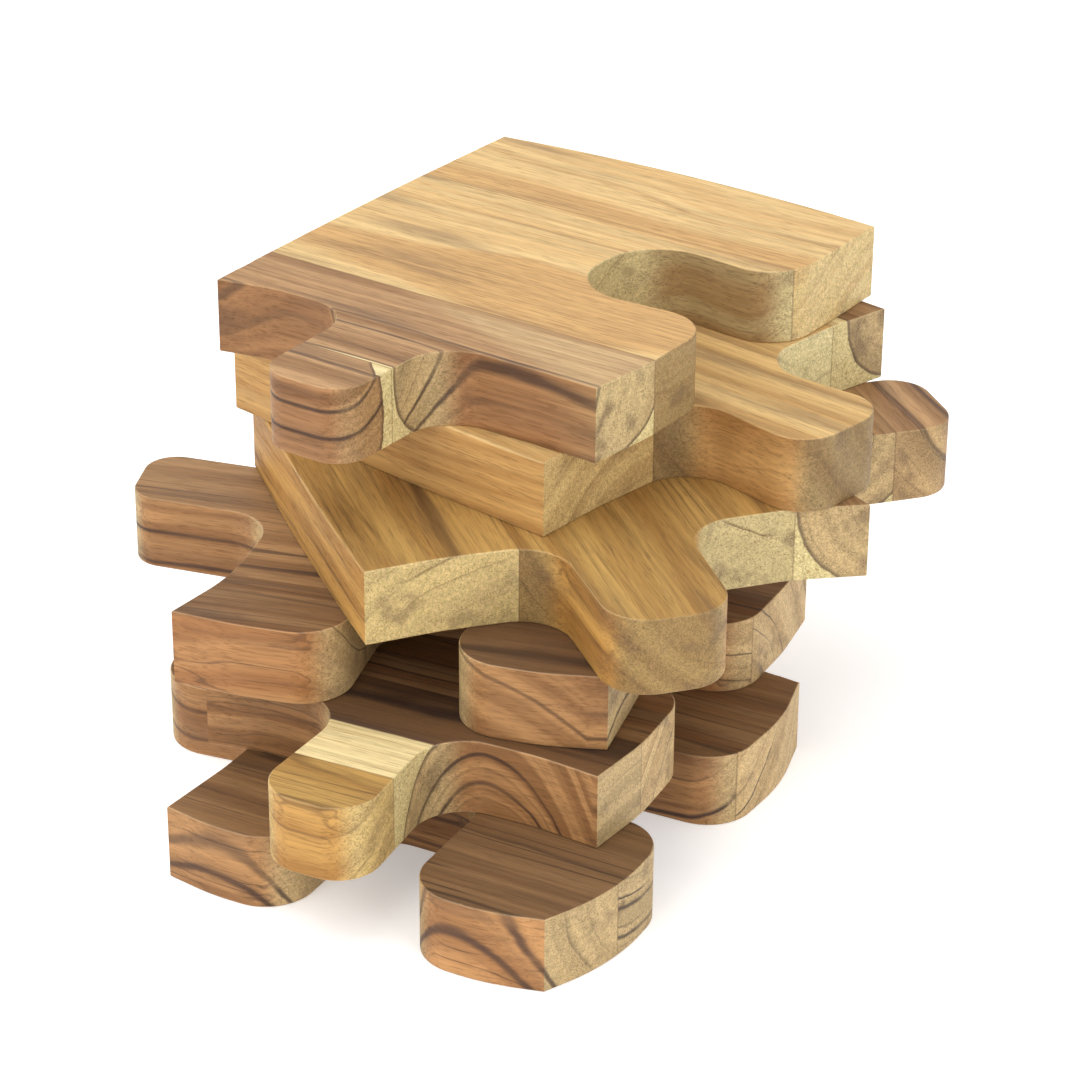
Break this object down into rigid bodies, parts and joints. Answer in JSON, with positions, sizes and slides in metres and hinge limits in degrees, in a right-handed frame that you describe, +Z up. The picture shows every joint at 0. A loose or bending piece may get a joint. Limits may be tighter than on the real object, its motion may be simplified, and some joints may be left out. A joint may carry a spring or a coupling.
{
  "type": "wooden jigsaw puzzle",
  "caption": "Thick wooden jigsaw puzzle with rounded tabs and sockets, glued up from boards and sawn apart, its loose pieces stacked flat at odd angles.",
  "frame": {"origin": "middle of the stack's footprint, on the surface it stands on", "axes": "+Z up through the stack; +X along the wood grain of the bottom piece, towards its side socket; +Y across the grain, towards that piece's flat side"},
  "size_m": [0.193, 0.2324, 0.12],
  "materials": {
    "north_edge_wood": "sanded, oiled",
    "north_inner_wood": "sanded, oiled",
    "middle_wood": "sanded, oiled",
    "south_inner_wood": "sanded, oiled",
    "south_edge_wood": "sanded, oiled"
  },
  "bodies": {
    "top_middle_piece": {"top_middle_left_ear": "middle_wood", "top_middle_right_ear": "middle_wood", "top_middle_inner_board": "north_inner_wood", "top_middle_edge_board": "north_edge_wood"},
    "bottom_right_piece": {"bottom_right_edge_board": "south_edge_wood", "bottom_right_inner_board": "south_inner_wood", "bottom_right_middle_board": "middle_wood", "bottom_right_tab_tip": "north_inner_wood"},
    "top_right_piece": {"top_right_left_ear": "middle_wood", "top_right_right_ear": "middle_wood", "top_right_inner_board": "north_inner_wood", "top_right_edge_board": "north_edge_wood"},
    "bottom_middle_piece": {"bottom_middle_edge_board": "south_edge_wood", "bottom_middle_inner_board": "south_inner_wood", "bottom_middle_middle_board": "middle_wood", "bottom_middle_tab_tip": "north_inner_wood"},
    "bottom_left_piece": {"bottom_left_edge_board": "south_edge_wood", "bottom_left_inner_board": "south_inner_wood", "bottom_left_left_ear": "middle_wood", "bottom_left_right_ear": "middle_wood"},
    "top_left_piece": {"top_left_tab_tip": "south_inner_wood", "top_left_middle_board": "middle_wood", "top_left_inner_board": "north_inner_wood", "top_left_edge_board": "north_edge_wood"}
  },
  "joints": [
    {"name": "lift_bottom_right", "type": "slide", "parent": "top_middle_piece", "child": "bottom_right_piece", "axis": [0, 0, 1], "range_m": [0, 0.06]},
    {"name": "lift_top_right", "type": "slide", "parent": "bottom_right_piece", "child": "top_right_piece", "axis": [0, 0, 1], "range_m": [0, 0.06]},
    {"name": "lift_bottom_middle", "type": "slide", "parent": "top_right_piece", "child": "bottom_middle_piece", "axis": [0, 0, 1], "range_m": [0, 0.06]},
    {"name": "lift_bottom_left", "type": "slide", "parent": "bottom_middle_piece", "child": "bottom_left_piece", "axis": [0, 0, 1], "range_m": [0, 0.06]},
    {"name": "lift_top_left", "type": "slide", "parent": "bottom_left_piece", "child": "top_left_piece", "axis": [0, 0, 1], "range_m": [0, 0.06]}
  ]
}
